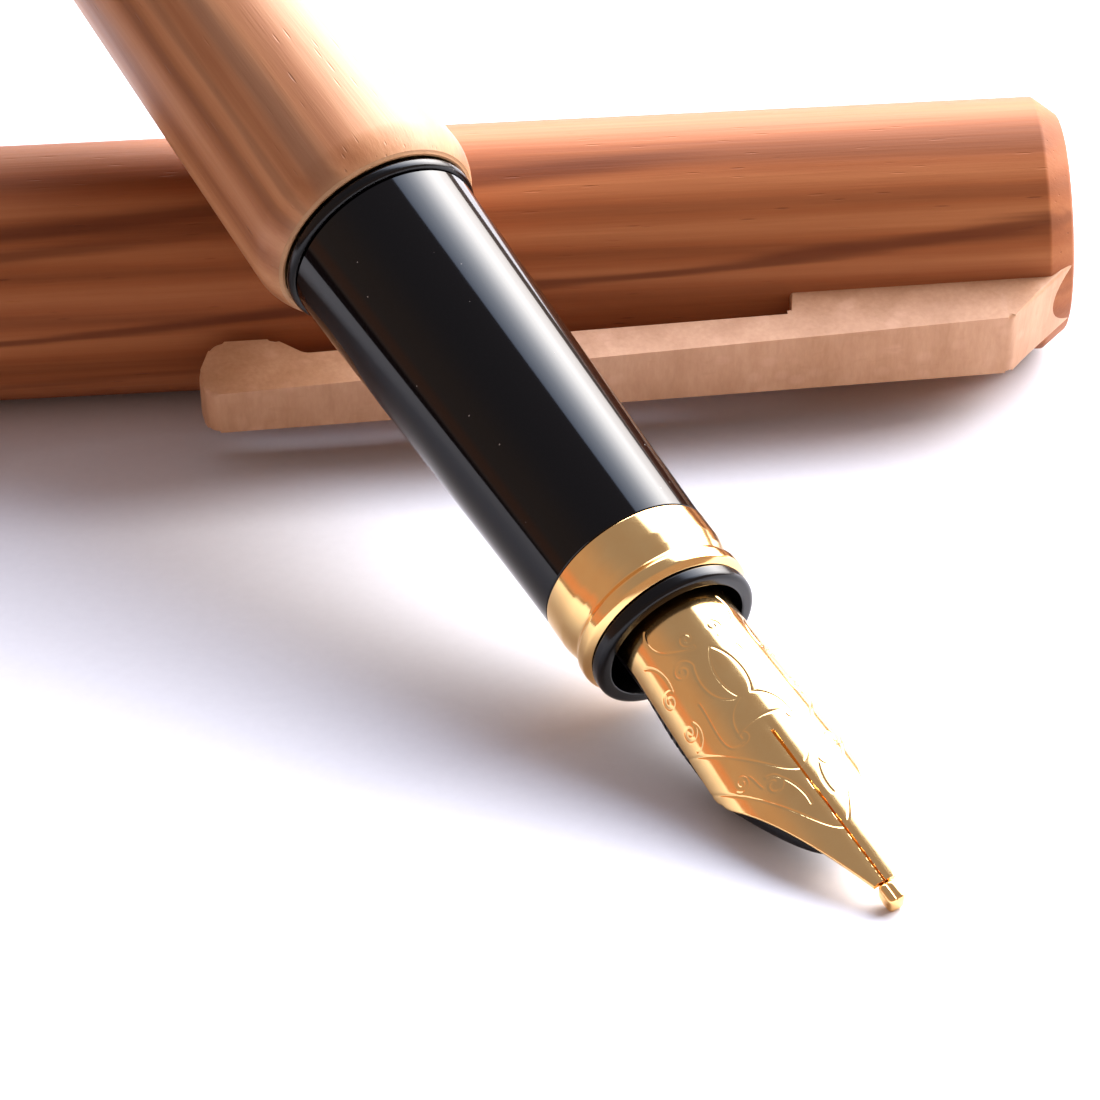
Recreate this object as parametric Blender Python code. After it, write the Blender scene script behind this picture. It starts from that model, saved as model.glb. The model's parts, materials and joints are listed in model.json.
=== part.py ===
"""Fountain pen lying across its own clipped wooden case.

The case is the long turned tube that a pen maker calls the cap: wood outside, a brass
lining, a plastic inner cap and a maple clip. The pen rests on the table with its nib and
on the case with its barrel. Lengths below are millimetres, and become metres in the meshes.
Turned pieces are drawn as (radius, distance along the axis) points.
"""
import math

import bmesh
import bpy
from mathutils import Matrix, Vector

MM = 0.001
SLIP = 0.1                 # clearance of one sleeve in another
REST = 0.3                 # gap where one piece rests on another
SIDES = 40                 # facets round the outer pieces
INNER_SIDES = 20           # facets round the hidden pieces

# Case, measured from its open mouth at 0 to its closed end.
CASE_LENGTH = 68.0
CASE_RADIUS = 6.85
END_BEVEL = 1.4
END_RADIUS = 5.8
BORE_DEPTH = 54.0
LINER_OUTER = 5.85
LINER_INNER = 5.55
LINER_LENGTH = 53.0
INNER_CAP_FRONT = 22.0
INNER_CAP_LENGTH = 30.5
INNER_CAP_WALL = 0.7
RING_GRIP_RADIUS = 4.75
NIB_ROOM_RADIUS = 4.25

# Clip, a slim fin of maple; its outline is drawn as (distance from the closed end, radius).
CLIP_TILT = math.radians(15)   # how far below level it points
CLIP_OUTER = 9.27          # radius of its outer face at the closed end
CLIP_OUTER_SLOPE = 0.053   # growth of that radius for each millimetre from the closed end
CLIP_END = 3.8             # where its slanted end meets its outer face
ARM_INNER = 8.18           # radius of the arm's inner face where the slot ends
ARM_INNER_TIP = 8.95
BUMP_START = 41.3
BUMP_INNER = 7.72
CLIP_NOSE = 47.0
SLOT_END = 15.4
CLIP_ROOT_WIDTH = 4.2
CLIP_NOSE_WIDTH = 2.8
CLIP_EDGE = 0.3

# Pen, measured along its axis from the point of the nib at 0.
PEN_AZIMUTH = math.radians(119.4)
PEN_RISE = math.radians(20.6)
NIB_ROLL = math.radians(-12.5)
TIP_RADIUS = 2.2           # from the pen's axis to the foot of the nib's tip
CROSS_ALONG_PEN = 65.9
CROSS_ALONG_CASE = 23.1
LIP_FRONT = 19.6
LIP_BACK = 20.35
LIP_RADIUS = 4.42
RING_BACK = 24.35
RING_RADIUS = 4.62
BEAD_RADIUS = 4.67
HOUSING_RADIUS = 3.8
HOUSING_BACK = 38.0
NIPPLE_RADIUS = 1.6
NIPPLE_BACK = 44.0
SEAT_RADIUS = 3.36
INK_BORE = 1.0
GRIP_FRONT_RADIUS = 4.58
GRIP_BACK_RADIUS = 5.22
RIM_FRONT = 48.3
RIM_BACK = 49.0
RIM_RADIUS = 5.45
TAIL_RADIUS = 4.7
TAIL_BACK = 57.0
GRIP_BORE = 4.1
BARREL_FRONT = 49.1
BARREL_LIP_RADIUS = 5.6
BARREL_WIDEST = 6.22
BARREL_WIDEST_AT = 50.9
BARREL_TAPER = 0.03
BARREL_END = 126.0
BARREL_CROWN = 3.0
BARREL_BORE = 4.1
BARREL_BORE_STEP = 90.0
BARREL_TIP_BORE = 3.6
BARREL_BORE_BACK = 103.0
BUSH_OUTER = 5.3
BUSH_INNER = 4.8
BUSH_BACK = 57.6

# Nib and feed.
NIB_THICKNESS = 0.3
NIB_CREST = 3.25
NIB_BACK = 27.0
NIB_BASE_AT = 18.5
NIB_BASE_CURVE = 3.2
NIB_SHOULDER_AT = 9.9
NIB_SHOULDER_CURVE = 3.75
NIB_TIP_HALF = 0.28
NIB_TINE_SPREAD = 3.4      # how much each tine widens, measured along the arch
NIB_SHOULDER_FLARE = 1.1   # what its shoulder adds to that
NIB_BASE_SPAN = math.radians(79)
NIB_FRONT = 1.25
SLIT_BACK = 11.0
SLIT_WIDTH = 0.12
TIP_HALF = 0.45
TIP_ROUND = 0.3
FEED_FRONT = 4.0
FEED_WIDE_AT = 10.8
FEED_DEEP_AT = 17.5
FEED_BACK = 28.4
FEED_HALF = 3.2
FEED_DEPTH = 2.75
FEED_POINT_HALF = 0.35
FEED_POINT_MIDDLE = 2.35
FEED_TOP = 2.75

# Ink converter, which pushes onto the housing's nipple.
CONVERTER_FRONT = 39.0
NOZZLE_BACK = 46.0
NOZZLE_RADIUS = 3.0
TUBE_OUTER = 3.35
TUBE_INNER = 2.7
TUBE_BACK = 79.5
BAND_FRONT = 71.5
BAND_BACK = 82.0
BAND_RADIUS = 3.7
KNOB_FRONT = 82.3
KNOB_BACK = 94.5
KNOB_RADIUS = 3.4
STEM_FRONT = 74.5
STEM_RADIUS = 2.5
ROD_RADIUS = 1.3
ROD_BACK = 77.5
PISTON_FRONT = 47.2
PISTON_BACK = 51.5
SEAL_FRONT = 48.4
SEAL_BACK = 50.2


def colour_material(name, colour, roughness, metallic=0.0):
    """Principled material with one colour."""
    material = bpy.data.materials.new(name)
    material.use_nodes = True
    shader = material.node_tree.nodes["Principled BSDF"]
    shader.inputs["Base Color"].default_value = (*colour, 1.0)
    shader.inputs["Roughness"].default_value = roughness
    shader.inputs["Metallic"].default_value = metallic
    material.diffuse_color = (*colour, 1.0)
    return material


def axis_empty(name, matrix, parent=None):
    """Empty whose local Z is the axis that its pieces are turned about."""
    empty = bpy.data.objects.new(name, None)
    empty.empty_display_size = 0.01
    empty.matrix_basis = matrix
    empty.parent = parent
    bpy.context.scene.collection.objects.link(empty)
    return empty


def add_object(name, shape, frame, material):
    """Make a named object from a bmesh and stand it in a frame."""
    bmesh.ops.remove_doubles(shape, verts=shape.verts, dist=1e-7)
    bmesh.ops.recalc_face_normals(shape, faces=shape.faces)
    mesh = bpy.data.meshes.new(name)
    shape.to_mesh(mesh)
    shape.free()
    mesh.shade_smooth()
    mesh.set_sharp_from_angle(angle=math.radians(32))
    piece = bpy.data.objects.new(name, mesh)
    piece.data.materials.append(material)
    piece.parent = frame
    bpy.context.scene.collection.objects.link(piece)
    return piece


def turned(name, profile, frame, material, sides=SIDES):
    """Turn a profile about local Z: a closed ring, or a solid if it starts and ends at radius 0."""
    shape = bmesh.new()
    points = [shape.verts.new((radius * MM, 0.0, along * MM)) for radius, along in profile]
    edges = [shape.edges.new(pair) for pair in zip(points, points[1:])]
    if profile[0][0] > 0.0:
        edges.append(shape.edges.new((points[-1], points[0])))
    bmesh.ops.spin(shape, geom=points + edges, cent=(0, 0, 0), axis=(0, 0, 1),
                   angle=2.0 * math.pi, steps=sides, use_merge=True)
    return add_object(name, shape, frame, material)


def arc(centre_radius, centre_along, size, start, end, steps):
    """Points of an arc in a turned profile, with its angles in degrees from the radial direction."""
    points = []
    for step in range(steps + 1):
        angle = math.radians(start + (end - start) * step / steps)
        points.append((centre_radius + size * math.cos(angle), centre_along + size * math.sin(angle)))
    return points


def rounded(corners, steps=4):
    """Outline of (x, y, rounding radius) corners, each rounded corner cut back to an arc."""
    outline = []
    for index, (x, y, radius) in enumerate(corners):
        here = Vector((x, y))
        if radius == 0:
            outline.append(here)
            continue
        before = Vector(corners[index - 1][:2])
        after = Vector(corners[(index + 1) % len(corners)][:2])
        incoming = (before - here).normalized()
        outgoing = (after - here).normalized()
        half = incoming.angle(outgoing) / 2.0
        centre = here + (incoming + outgoing).normalized() * radius / math.sin(half)
        first = (here + incoming * radius / math.tan(half) - centre).normalized()
        last = (here + outgoing * radius / math.tan(half) - centre).normalized()
        for step in range(steps + 1):
            outline.append(centre + first.slerp(last, step / steps) * radius)
    return outline


def cut(piece, cutter):
    """Subtract a hidden cutter from a piece."""
    cutter.hide_render = True
    cutter.display_type = "WIRE"
    modifier = piece.modifiers.new("cut_" + cutter.name, "BOOLEAN")
    modifier.operation = "DIFFERENCE"
    modifier.object = cutter


def clip_half_width(from_end):
    """Half the clip's thickness, which narrows from its root to its nose."""
    share = min(max(from_end / CLIP_NOSE, 0.0), 1.0)
    return 0.5 * (CLIP_ROOT_WIDTH + (CLIP_NOSE_WIDTH - CLIP_ROOT_WIDTH) * share)


def clip_outer(from_end):
    """Radius of the clip's outer face."""
    return CLIP_OUTER + CLIP_OUTER_SLOPE * from_end


def clip_slab(name, corners, frame, material):
    """Flat fin standing on the case, from an outline of (distance from closed end, radius, rounding)."""
    shape = bmesh.new()
    outline = rounded(corners)
    sides = []
    for sign in (-1.0, 1.0):
        loop = []
        for from_end, radius in outline:
            place = (sign * clip_half_width(from_end), radius, CASE_LENGTH - from_end)
            loop.append(shape.verts.new(Vector(place) * MM))
        sides.append(loop)
        shape.faces.new(loop)
    count = len(outline)
    for index in range(count):
        after = (index + 1) % count
        shape.faces.new((sides[0][index], sides[0][after], sides[1][after], sides[1][index]))
    piece = add_object(name, shape, frame, material)
    bevel = piece.modifiers.new("soft_edges", "BEVEL")
    bevel.width = CLIP_EDGE * MM
    bevel.segments = 2
    bevel.limit_method = "ANGLE"
    bevel.angle_limit = math.radians(50)
    return piece


def build_case(frame, wood, brass, black):
    """Wooden tube, its brass lining, and the plastic inner cap that grips the pen's ring."""
    bore = LINER_OUTER + SLIP
    turned("case_tube", [
        (0.0, BORE_DEPTH), (bore, BORE_DEPTH), (bore, 0.0), (CASE_RADIUS - 0.3, 0.0), (CASE_RADIUS, 0.3),
        (CASE_RADIUS, CASE_LENGTH - END_BEVEL), (CASE_RADIUS - 0.15, CASE_LENGTH - 0.9 * END_BEVEL),
        (END_RADIUS + 0.15, CASE_LENGTH - 0.08), (END_RADIUS - 0.1, CASE_LENGTH),
        (0.0, CASE_LENGTH)], frame, wood)
    turned("case_liner", [
        (LINER_INNER, 0.2), (LINER_OUTER, 0.2), (LINER_OUTER, LINER_LENGTH),
        (LINER_INNER, LINER_LENGTH)], frame, brass)
    outer = LINER_INNER - SLIP
    back = INNER_CAP_FRONT + INNER_CAP_LENGTH
    turned("case_inner_cap", [
        (0.0, back - INNER_CAP_WALL), (NIB_ROOM_RADIUS, back - INNER_CAP_WALL),
        (NIB_ROOM_RADIUS, INNER_CAP_FRONT + 9.0), (RING_GRIP_RADIUS, INNER_CAP_FRONT + 8.4),
        (RING_GRIP_RADIUS, INNER_CAP_FRONT + 1.0), (RING_GRIP_RADIUS + 0.3, INNER_CAP_FRONT),
        (outer, INNER_CAP_FRONT), (outer, back), (0.0, back)], frame, black)


def build_clip(frame, maple):
    """Maple clip: its root is glued along the case, and its arm springs away from it."""
    seat = CASE_RADIUS - 1.4
    root = clip_slab("case_clip_root", [
        (SLOT_END, clip_outer(SLOT_END), 0), (CLIP_END, clip_outer(CLIP_END), 0.6), (0.1, seat, 0),
        (SLOT_END, seat, 0)], frame, maple)
    bevel_start = CASE_LENGTH - END_BEVEL
    cutter = turned("case_outline_cutter", [
        (0.0, -10.0), (CASE_RADIUS + SLIP, -10.0), (CASE_RADIUS + SLIP, bevel_start),
        (END_RADIUS + SLIP, CASE_LENGTH + SLIP), (0.0, CASE_LENGTH + SLIP)], frame, maple, 96)
    cut(root, cutter)
    arm_root = SLOT_END + REST
    clip_slab("case_clip_arm", [
        (arm_root, clip_outer(arm_root), 0), (arm_root, ARM_INNER, 0), (BUMP_START, ARM_INNER_TIP, 0.6),
        (BUMP_START + 1.6, BUMP_INNER, 1.0), (CLIP_NOSE - 0.8, BUMP_INNER, 0.8), (CLIP_NOSE, 10.3, 2.0),
        (CLIP_NOSE - 0.6, clip_outer(CLIP_NOSE), 0.5)], frame, maple)


def nib_section(along):
    """Curve radius and half angle of the nib's arched cross-section at a distance from its tip."""
    if along >= NIB_SHOULDER_AT:
        share = min((along - NIB_SHOULDER_AT) / (NIB_BASE_AT - NIB_SHOULDER_AT), 1.0)
        curve = NIB_SHOULDER_CURVE + (NIB_BASE_CURVE - NIB_SHOULDER_CURVE) * share
        shoulder_span = (NIB_TIP_HALF + NIB_TINE_SPREAD + NIB_SHOULDER_FLARE) / NIB_SHOULDER_CURVE
        return curve, shoulder_span + (NIB_BASE_SPAN - shoulder_span) * share
    share = along / NIB_SHOULDER_AT
    half = NIB_TIP_HALF + NIB_TINE_SPREAD * share ** 1.1 + NIB_SHOULDER_FLARE * share ** 5
    return NIB_SHOULDER_CURVE, half / NIB_SHOULDER_CURVE


def build_nib(frame, gold):
    """Arched sheet that narrows from its shoulders to two tines, split by a slit."""
    across = 16
    shape = bmesh.new()
    tine_steps = [NIB_FRONT + (NIB_SHOULDER_AT - NIB_FRONT) * step / 12 for step in range(13)]
    body_steps = [NIB_SHOULDER_AT + (NIB_BACK - NIB_SHOULDER_AT) * step / 8 for step in range(1, 9)]
    rows = []
    for along in tine_steps + body_steps:
        curve, span = nib_section(along)
        row = []
        for offset in (0.0, NIB_THICKNESS):
            line = []
            for step in range(across + 1):
                angle = span * (2.0 * step / across - 1.0)
                x = (curve - offset) * math.sin(angle)
                y = NIB_CREST - curve + (curve - offset) * math.cos(angle)
                line.append(shape.verts.new(Vector((x, y, along)) * MM))
            row.append(line)
        rows.append(row[0] + row[1][::-1])
    for row, after in zip(rows, rows[1:]):
        for index in range(len(row)):
            following = (index + 1) % len(row)
            shape.faces.new((row[index], row[following], after[following], after[index]))
    for row in (rows[0], rows[-1]):
        last = len(row) - 1
        for step in range(across):
            shape.faces.new((row[step], row[step + 1], row[last - step - 1], row[last - step]))
    nib = add_object("nib", shape, frame, gold)
    slit = bmesh.new()
    size = Vector((SLIT_WIDTH, 4.0, SLIT_BACK + 1.0)) * MM
    centre = Vector((0.0, NIB_CREST, (SLIT_BACK - 1.0) / 2.0)) * MM
    bmesh.ops.create_cube(slit, size=1.0, matrix=Matrix.Translation(centre) @ Matrix.Diagonal((*size, 1.0)))
    cut(nib, add_object("slit_cutter", slit, frame, gold))


def build_nib_tip(frame, gold):
    """Writing pellet at the point of the nib, whose foot stands on the table."""
    shape = bmesh.new()
    high = NIB_CREST + 0.05
    length = NIB_FRONT - 0.1
    size = Vector((2.0 * TIP_HALF, high - TIP_RADIUS, length)) * MM
    centre = Vector((0.0, (high + TIP_RADIUS) / 2.0, length / 2.0)) * MM
    bmesh.ops.create_cube(shape, size=1.0, matrix=Matrix.Translation(centre) @ Matrix.Diagonal((*size, 1.0)))
    piece = add_object("nib_tip", shape, frame, gold)
    bevel = piece.modifiers.new("rounding", "BEVEL")
    bevel.width = TIP_ROUND * MM
    bevel.segments = 3


def feed_outline(along, sides):
    """Cross-section of the feed: an oval, flatter under the tines, that stays inside the nib's arch."""
    share = min((along - FEED_FRONT) / (FEED_WIDE_AT - FEED_FRONT), 1.0)
    half_width = FEED_POINT_HALF + (FEED_HALF - FEED_POINT_HALF) * share ** 0.42
    middle = FEED_POINT_MIDDLE * (1.0 - share)
    deep = min((along - FEED_FRONT) / (FEED_DEEP_AT - FEED_FRONT), 1.0)
    depth = FEED_POINT_HALF + (FEED_DEPTH - FEED_POINT_HALF) * deep
    curve = nib_section(along)[0]
    arch_middle = NIB_CREST - curve
    room = curve - NIB_THICKNESS - SLIP
    outline = []
    for step in range(sides):
        angle = 2.0 * math.pi * step / sides
        height = FEED_TOP - middle if math.cos(angle) > 0.0 else depth
        place = Vector((half_width * math.sin(angle), middle + height * math.cos(angle) - arch_middle))
        if place.length > room:
            place = place.normalized() * room
        outline.append((place.x, place.y + arch_middle))
    return outline


def build_feed(frame, black):
    """Ink feed under the nib, tapering to a point behind the tines."""
    shape = bmesh.new()
    sides = 24
    taper_steps = 10
    stations = [FEED_FRONT + (FEED_DEEP_AT - FEED_FRONT) * step / taper_steps for step in range(taper_steps + 1)]
    rings = []
    for along in stations + [FEED_BACK]:
        rings.append([shape.verts.new(Vector((x, y, along)) * MM) for x, y in feed_outline(along, sides)])
    for ring, after in zip(rings, rings[1:]):
        for step in range(sides):
            following = (step + 1) % sides
            shape.faces.new((ring[step], ring[following], after[following], after[step]))
    shape.faces.new(rings[0])
    shape.faces.new(rings[-1])
    add_object("feed", shape, frame, black)


def build_housing(frame, black):
    """Housing that holds nib and feed: lip, threaded body and the nipple for the converter."""
    turned("nib_housing", [
        (SEAT_RADIUS + 0.39, LIP_FRONT), (LIP_RADIUS - 0.25, LIP_FRONT), (LIP_RADIUS, LIP_FRONT + 0.2),
        (LIP_RADIUS, LIP_BACK), (HOUSING_RADIUS, LIP_BACK), (HOUSING_RADIUS, HOUSING_BACK),
        (NIPPLE_RADIUS, HOUSING_BACK), (NIPPLE_RADIUS, NIPPLE_BACK - 0.5), (NIPPLE_RADIUS - 0.3, NIPPLE_BACK),
        (INK_BORE, NIPPLE_BACK), (INK_BORE, FEED_BACK + REST), (SEAT_RADIUS, FEED_BACK + REST),
        (SEAT_RADIUS, LIP_FRONT + 1.2)], frame, black)


def build_section(frame, black, gold):
    """Grip with its threaded tail, the trim ring in front of it and the rim behind it."""
    inner = HOUSING_RADIUS + SLIP
    ring_front = LIP_BACK + SLIP
    turned("section_ring", [
        (inner, ring_front), (BEAD_RADIUS - 0.3, ring_front), (BEAD_RADIUS, ring_front + 0.35),
        (BEAD_RADIUS, ring_front + 0.8), (BEAD_RADIUS - 0.3, ring_front + 1.2),
        (RING_RADIUS - 0.12, ring_front + 1.6), (RING_RADIUS, ring_front + 2.4),
        (RING_RADIUS, RING_BACK - SLIP), (inner, RING_BACK - SLIP)], frame, gold)
    grip = [(inner, RING_BACK)]
    steps = 10
    for step in range(steps + 1):
        share = step / steps
        radius = GRIP_FRONT_RADIUS + (GRIP_BACK_RADIUS - GRIP_FRONT_RADIUS) * share ** 1.15
        grip.append((radius, RING_BACK + (RIM_FRONT - SLIP - RING_BACK) * share))
    grip += [(TAIL_RADIUS, RIM_FRONT - SLIP), (TAIL_RADIUS, TAIL_BACK - 0.4), (TAIL_RADIUS - 0.4, TAIL_BACK),
             (GRIP_BORE, TAIL_BACK), (GRIP_BORE, HOUSING_BACK + 1.0), (inner, HOUSING_BACK + 1.0)]
    turned("section_grip", grip, frame, black)
    middle = (RIM_FRONT + RIM_BACK) / 2.0
    size = (RIM_BACK - RIM_FRONT) / 2.0
    rim = [(TAIL_RADIUS + SLIP, RIM_FRONT)]
    rim += arc(RIM_RADIUS - size, middle, size, -90.0, 90.0, 6)
    rim.append((TAIL_RADIUS + SLIP, RIM_BACK))
    turned("section_rim", rim, frame, black)


def build_barrel(frame, wood, brass):
    """Bored wooden barrel and the threaded bush in its mouth."""
    outside = [(BUSH_OUTER + SLIP, BARREL_FRONT), (BARREL_LIP_RADIUS, BARREL_FRONT)]
    shoulder_steps = 5
    for step in range(1, shoulder_steps + 1):
        share = step / shoulder_steps
        rise = math.sin(share * math.pi / 2.0) ** 0.8
        radius = BARREL_LIP_RADIUS + (BARREL_WIDEST - BARREL_LIP_RADIUS) * rise
        outside.append((radius, BARREL_FRONT + (BARREL_WIDEST_AT - BARREL_FRONT) * share))
    crown_start = BARREL_END - BARREL_CROWN
    taper_steps = 5
    for step in range(1, taper_steps + 1):
        along = BARREL_WIDEST_AT + (crown_start - BARREL_WIDEST_AT) * step / taper_steps
        outside.append((BARREL_WIDEST - BARREL_TAPER * (along - BARREL_WIDEST_AT), along))
    crown_radius = outside[-1][0]
    crown_steps = 6
    for step in range(1, crown_steps + 1):
        angle = math.pi / 2.0 * step / crown_steps
        outside.append((crown_radius * math.cos(angle), crown_start + BARREL_CROWN * math.sin(angle)))
    outside[-1] = (0.0, BARREL_END)
    inside = [(0.0, BARREL_BORE_BACK + 1.5), (BARREL_TIP_BORE, BARREL_BORE_BACK),
              (BARREL_TIP_BORE, BARREL_BORE_STEP), (BARREL_BORE, BARREL_BORE_STEP),
              (BARREL_BORE, BUSH_BACK + REST), (BUSH_OUTER + SLIP, BUSH_BACK + REST)]
    turned("barrel_tube", inside + outside, frame, wood)
    turned("barrel_bush", [
        (BUSH_INNER, BARREL_FRONT + 0.2), (BUSH_OUTER, BARREL_FRONT + 0.2), (BUSH_OUTER, BUSH_BACK),
        (BUSH_INNER, BUSH_BACK)], frame, brass, INNER_SIDES)


def build_converter(frame, black, clear, chrome):
    """Mouthpiece, ink tube and metal band of the converter."""
    turned("converter_nozzle", [
        (NIPPLE_RADIUS + SLIP, CONVERTER_FRONT), (NOZZLE_RADIUS, CONVERTER_FRONT),
        (NOZZLE_RADIUS, NOZZLE_BACK - REST), (NIPPLE_RADIUS - 0.4, NOZZLE_BACK - REST),
        (NIPPLE_RADIUS - 0.4, NIPPLE_BACK + REST), (NIPPLE_RADIUS + SLIP, NIPPLE_BACK + REST)],
        frame, black, INNER_SIDES)
    turned("converter_tube", [
        (TUBE_INNER, NOZZLE_BACK), (TUBE_OUTER, NOZZLE_BACK), (TUBE_OUTER, TUBE_BACK),
        (TUBE_INNER, TUBE_BACK)], frame, clear, INNER_SIDES)
    turned("converter_band", [
        (TUBE_OUTER + SLIP, BAND_FRONT), (BAND_RADIUS, BAND_FRONT), (BAND_RADIUS, BAND_BACK),
        (STEM_RADIUS + SLIP, BAND_BACK), (STEM_RADIUS + SLIP, TUBE_BACK + REST),
        (TUBE_OUTER + SLIP, TUBE_BACK + REST)], frame, chrome, INNER_SIDES)


def build_knob(frame, black):
    """Hollow screw knob that draws the piston rod into itself."""
    bore = ROD_RADIUS + SLIP
    turned("converter_knob", [
        (0.0, KNOB_BACK - 0.8), (bore, KNOB_BACK - 0.8), (bore, STEM_FRONT), (STEM_RADIUS, STEM_FRONT),
        (STEM_RADIUS, KNOB_FRONT), (KNOB_RADIUS - 0.3, KNOB_FRONT), (KNOB_RADIUS, KNOB_FRONT + 0.4),
        (KNOB_RADIUS, KNOB_BACK - 0.6), (KNOB_RADIUS - 0.5, KNOB_BACK), (0.0, KNOB_BACK)],
        frame, black, INNER_SIDES)


def build_piston(frame, black, rubber):
    """Piston head with a rubber seal in its groove, and the screwed rod behind it."""
    head = TUBE_INNER - 0.15
    groove = head - 0.9
    turned("piston_head", [
        (0.0, PISTON_FRONT), (head - 0.3, PISTON_FRONT), (head, PISTON_FRONT + 0.3), (head, SEAL_FRONT),
        (groove, SEAL_FRONT), (groove, SEAL_BACK), (head, SEAL_BACK), (head, PISTON_BACK),
        (0.0, PISTON_BACK)], frame, black, INNER_SIDES)
    turned("piston_seal", [
        (groove + SLIP, SEAL_FRONT + SLIP), (TUBE_INNER - 0.05, SEAL_FRONT + SLIP),
        (TUBE_INNER - 0.05, SEAL_BACK - SLIP), (groove + SLIP, SEAL_BACK - SLIP)],
        frame, rubber, INNER_SIDES)
    turned("piston_rod", [
        (0.0, PISTON_BACK + SLIP), (ROD_RADIUS, PISTON_BACK + SLIP), (ROD_RADIUS, ROD_BACK),
        (0.0, ROD_BACK)], frame, black, INNER_SIDES)


def pen_matrix():
    """Frame of the pen: Z runs from the nib back along the barrel, Y is the upper side."""
    level = Vector((math.cos(PEN_AZIMUTH), math.sin(PEN_AZIMUTH), 0.0))
    along = level * math.cos(PEN_RISE) + Vector((0.0, 0.0, math.sin(PEN_RISE)))
    upper = (Vector((0.0, 0.0, 1.0)) - along * along.z).normalized()
    across = upper.cross(along)
    turn = Matrix((across, upper, along)).transposed().to_4x4()
    corner = Vector((TIP_HALF - TIP_ROUND, TIP_RADIUS + TIP_ROUND, TIP_ROUND))
    corner = turn @ Matrix.Rotation(NIB_ROLL, 4, "Z") @ corner
    cross = Vector((CROSS_ALONG_CASE, 0.0, 0.0))
    start = cross - along * CROSS_ALONG_PEN
    start.z = TIP_ROUND - corner.z
    return Matrix.Translation(start * MM) @ turn


def centre_on_floor(roots):
    """Move everything so that the whole object's box stands centred on the origin."""
    bpy.context.view_layer.update()
    graph = bpy.context.evaluated_depsgraph_get()
    points = []
    for piece in bpy.context.scene.objects:
        if piece.type != "MESH" or piece.hide_render:
            continue
        solid = piece.evaluated_get(graph)
        points += [piece.matrix_world @ vertex.co for vertex in solid.data.vertices]
    low = Vector([min(point[axis] for point in points) for axis in range(3)])
    high = Vector([max(point[axis] for point in points) for axis in range(3)])
    shift = Vector(((low.x + high.x) / 2.0, (low.y + high.y) / 2.0, low.z))
    for root in roots:
        root.location -= shift
    bpy.context.view_layer.update()


def main():
    for old in list(bpy.data.objects):
        bpy.data.objects.remove(old)
    case_wood = colour_material("case_wood", (0.36, 0.13, 0.06), 0.4)
    barrel_wood = colour_material("barrel_wood", (0.52, 0.30, 0.16), 0.4)
    maple = colour_material("maple", (0.66, 0.42, 0.23), 0.5)
    black = colour_material("black_plastic", (0.01, 0.01, 0.012), 0.12)
    gold = colour_material("gold_plate", (0.83, 0.55, 0.22), 0.15, 1.0)
    brass = colour_material("brass", (0.7, 0.5, 0.22), 0.3, 1.0)
    chrome = colour_material("chrome", (0.75, 0.75, 0.77), 0.1, 1.0)
    clear = colour_material("clear_plastic", (0.85, 0.87, 0.88), 0.1)
    rubber = colour_material("seal_rubber", (0.03, 0.03, 0.03), 0.7)

    lying = Matrix.Translation((0.0, 0.0, CASE_RADIUS * MM)) @ Matrix.Rotation(math.pi / 2.0, 4, "Y")
    case_axis = axis_empty("case_axis", lying)
    build_case(case_axis, case_wood, brass, black)
    clip_turn = Matrix.Rotation(math.pi + CLIP_TILT, 4, "Z")
    clip_axis = axis_empty("clip_axis", clip_turn, case_axis)
    build_clip(clip_axis, maple)

    pen_axis = axis_empty("pen_axis", pen_matrix())
    nib_axis = axis_empty("nib_axis", Matrix.Rotation(NIB_ROLL, 4, "Z"), pen_axis)
    build_nib(nib_axis, gold)
    build_nib_tip(nib_axis, gold)
    build_feed(nib_axis, black)
    build_housing(pen_axis, black)
    build_section(pen_axis, black, gold)
    build_barrel(pen_axis, barrel_wood, brass)
    build_converter(pen_axis, black, clear, chrome)
    build_knob(pen_axis, black)
    build_piston(pen_axis, black, rubber)
    centre_on_floor((case_axis, pen_axis))


main()
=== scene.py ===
"""Looks of a wooden fountain pen that lies across its own clipped wooden case.

Lengths are millimetres, and become metres in the meshes. Pieces of the case are measured along it
from its open mouth, and pieces of the pen along its axis from the nib's point. Turned pieces are
drawn as (radius, distance along the axis, rounding of that corner).
"""
import json
import math
import bmesh
import bpy
from mathutils import Matrix, Vector, kdtree


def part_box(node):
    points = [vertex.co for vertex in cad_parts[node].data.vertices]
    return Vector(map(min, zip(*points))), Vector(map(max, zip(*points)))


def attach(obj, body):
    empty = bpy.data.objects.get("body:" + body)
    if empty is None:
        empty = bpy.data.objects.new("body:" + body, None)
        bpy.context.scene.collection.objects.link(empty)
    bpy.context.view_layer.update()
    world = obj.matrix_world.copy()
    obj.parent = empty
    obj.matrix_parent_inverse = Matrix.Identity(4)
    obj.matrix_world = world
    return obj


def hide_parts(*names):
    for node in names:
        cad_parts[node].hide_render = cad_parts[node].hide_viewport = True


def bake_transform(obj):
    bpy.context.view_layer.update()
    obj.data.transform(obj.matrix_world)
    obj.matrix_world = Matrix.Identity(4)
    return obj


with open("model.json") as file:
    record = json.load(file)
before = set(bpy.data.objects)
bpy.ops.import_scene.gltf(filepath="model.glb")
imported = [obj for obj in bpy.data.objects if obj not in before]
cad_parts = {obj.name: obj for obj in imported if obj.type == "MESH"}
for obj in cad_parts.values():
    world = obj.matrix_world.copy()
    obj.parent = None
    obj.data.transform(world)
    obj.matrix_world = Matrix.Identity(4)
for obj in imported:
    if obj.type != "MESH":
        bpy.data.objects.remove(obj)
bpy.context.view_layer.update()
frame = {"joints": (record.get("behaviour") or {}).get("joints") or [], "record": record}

MM = 0.001
ROUND = 144                # facets round a large turned piece
ARC_STEP = math.radians(11)
UP = Vector((0.0, 0.0, 1.0))

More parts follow.
